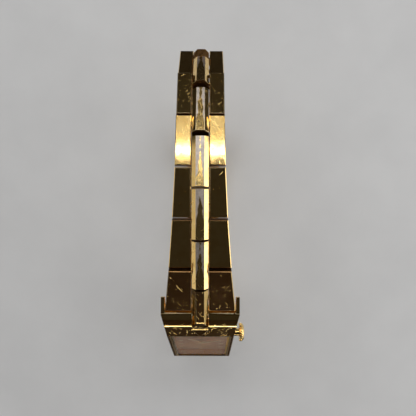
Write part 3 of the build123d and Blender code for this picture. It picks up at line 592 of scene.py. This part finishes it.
for node, finish in (
    ("case_pins", pin_steel),
    ("clasp_pins", pin_steel),
    ("crown_tube", gold),
    ("crown_seal", gasket_black),
    ("crystal_gasket", gasket_amber),
    ("back_gasket", gasket_black),
    ("dial", dial_finish),
    ("minute_hand", hand_gold),
    ("hour_hand", hand_gold),
    ("movement_holder", holder_white),
    ("main_plate", movement_steel),
    ("train_bridge", movement_steel),
    ("stator", movement_steel),
    ("battery_strap", movement_steel),
    ("movement_screws", movement_steel),
    ("winding_stem", movement_steel),
    ("battery", cell_steel),
    ("coil", coil_copper),
    ("circuit_board", board_green),
    ("cannon_pinion", wheel_brass),
    ("hour_wheel", wheel_brass),
    ("minute_wheel", wheel_brass),
    ("centre_wheel", wheel_brass),
    ("reduction_wheel", wheel_brass),
    ("rotor", magnet_black),
):
    dress(node, finish)


# Stage, lights and camera

floor_half = 1.5
floor_gap = 0.02 * mm
floor_level = cad_box[0][2] - floor_gap

origin = (0, 0, 0)
watch_middle = (0, -0.01, 0.02)
surround_colour = (1.0, 0.9, 0.78)
surround_strength = 0.027

# the camera looks straight down from over the watch, with its focal length told in the photograph's pixels
camera_place = (1.46 * mm, 0, 97.12 * mm)
camera_turn = radians(0.2)
focal_pixels = 400
photo_pixels = 416
sensor_width = 36.0


def pale_paper():
    """A pale matt floor, kept pale to the camera and in reflections beyond the lamps' reach."""
    finish, tree, shader = new_finish("pale_floor")
    glow = 0.06
    grain = noise(tree, object_place(tree), scale=60.0, detail=5.0)
    paper = ramp(tree, grain, ((0.3, 0.60), (0.7, 0.64)))
    glow_colour = ramp(tree, grain, ((0.3, (0.95, 0.95, 0.96)), (0.7, 1.0)))
    rays = tree.nodes.new("ShaderNodeLightPath")
    seen = joined(tree, "MAXIMUM", rays.outputs["Is Camera Ray"], rays.outputs["Is Glossy Ray"])
    seen = joined(tree, "MAXIMUM", seen, rays.outputs["Is Transmission Ray"])
    tree.links.new(paper, shader.inputs["Base Color"])
    tree.links.new(glow_colour, shader.inputs["Emission Color"])
    tree.links.new(joined(tree, "MULTIPLY", seen, glow), shader.inputs["Emission Strength"])
    shader.inputs["Roughness"].default_value = 0.7
    return finish


floor_shape = bmesh.new()
bmesh.ops.create_grid(floor_shape, x_segments=1, y_segments=1, size=floor_half)
bmesh.ops.translate(floor_shape, verts=floor_shape.verts, vec=(0, 0, floor_level))
floor = new_piece("floor", floor_shape, pale_paper())


def soft_lamp(name, place, aim, size, power, tint=(1, 1, 1)):
    """A rectangular soft box, pointed at a place."""
    lamp = bpy.data.lights.new(name, "AREA")
    lamp.shape = "RECTANGLE"
    lamp.size, lamp.size_y = size
    lamp.energy = power
    lamp.color = tint
    holder = bpy.data.objects.new(name, lamp)
    bpy.context.scene.collection.objects.link(holder)
    holder.location = place
    holder.rotation_euler = (Vector(aim) - Vector(place)).to_track_quat("-Z", "Y").to_euler()


# the overhead boxes stand a little behind the watch, so the top links mirror them
soft_lamp("overhead_box", (0, 0.109, 0.34), aim=(0, 0.01, 0.02), size=(0.5, 0.047), power=0.055,
          tint=(1.0, 0.97, 0.92))
soft_lamp("overhead_core", (0, 0.088, 0.33), aim=(0, 0.0095, 0.0227), size=(0.30, 0.006), power=0.07)
soft_lamp("back_box", (0, 0.24, 0.33), aim=origin, size=(0.6, 0.12), power=0.75)
soft_lamp("left_box", (-0.36, 0.02, 0.32), aim=origin, size=(0.3, 0.3), power=0.3)
soft_lamp("right_box", (0.36, -0.02, 0.30), aim=origin, size=(0.3, 0.3), power=0.35)
soft_lamp("right_low_box", (0.34, -0.01, 0.04), aim=watch_middle, size=(0.5, 0.16), power=0.6)
soft_lamp("left_low_box", (-0.34, -0.01, 0.04), aim=watch_middle, size=(0.5, 0.16), power=0.13)
# a low bright strip in front draws the line along the hood's ridge
soft_lamp("ridge_strip", (0, -0.28, 0.072), aim=(0, -0.027, 0.014), size=(0.5, 0.014), power=0.16)


def dark_flag(name, centre, size, turn, colour):
    """A dark card on the stage, seen only mirrored in the polished metal and the glass."""
    card = bmesh.new()
    half_side = 0.5
    bmesh.ops.create_grid(card, x_segments=1, y_segments=1, size=half_side)
    stretched = Matrix.Diagonal((*size, 1, 1))
    turned = Matrix.Rotation(radians(turn), 4, "X")
    bmesh.ops.transform(card, verts=card.verts, matrix=Matrix.Translation(centre) @ turned @ stretched)
    finish, tree, shader = new_finish(name + "_cloth")
    grain = noise(tree, object_place(tree), scale=80.0, detail=4.0)
    darker = tuple(0.8 * part for part in colour)
    tree.links.new(ramp(tree, grain, ((0.3, darker), (0.7, colour))), shader.inputs["Base Color"])
    shader.inputs["Roughness"].default_value = 0.9
    flag = new_piece(name, card, finish)
    flag.visible_camera = False
    flag.visible_shadow = False
    flag.visible_diffuse = False
    flag.visible_transmission = False


dark_flag("front_flag", (0, -0.3, 0.15), size=(0.9, 0.36), turn=90, colour=(0.022, 0.008, 0.005))
dark_flag("back_flag", (0, 0.085, 0), size=(0.9, 0.06), turn=90, colour=(0.03, 0.024, 0.02))
dark_flag("front_cloth", (-0.1, -0.175, floor_level + 1 * mm), size=(0.3, 0.25), turn=0,
          colour=(0.035, 0.016, 0.01))

world = bpy.data.worlds.new("studio")
world.use_nodes = True
bpy.context.scene.world = world
world_tree = world.node_tree
world_tree.nodes.clear()
surround = world_tree.nodes.new("ShaderNodeBackground")
surround.inputs["Color"].default_value = (*surround_colour, 1.0)
surround.inputs["Strength"].default_value = surround_strength
world_out = world_tree.nodes.new("ShaderNodeOutputWorld")
world_tree.links.new(surround.outputs["Background"], world_out.inputs["Surface"])

camera_data = bpy.data.cameras.new("photo_camera")
camera_data.sensor_width = sensor_width
camera_data.lens = sensor_width * focal_pixels / photo_pixels
camera_data.clip_start = 1 * mm
camera = bpy.data.objects.new("photo_camera", camera_data)
bpy.context.scene.collection.objects.link(camera)
camera.location = camera_place
camera.rotation_euler = (0, 0, camera_turn)
bpy.context.scene.camera = camera
bpy.context.scene.view_settings.view_transform = "Standard"
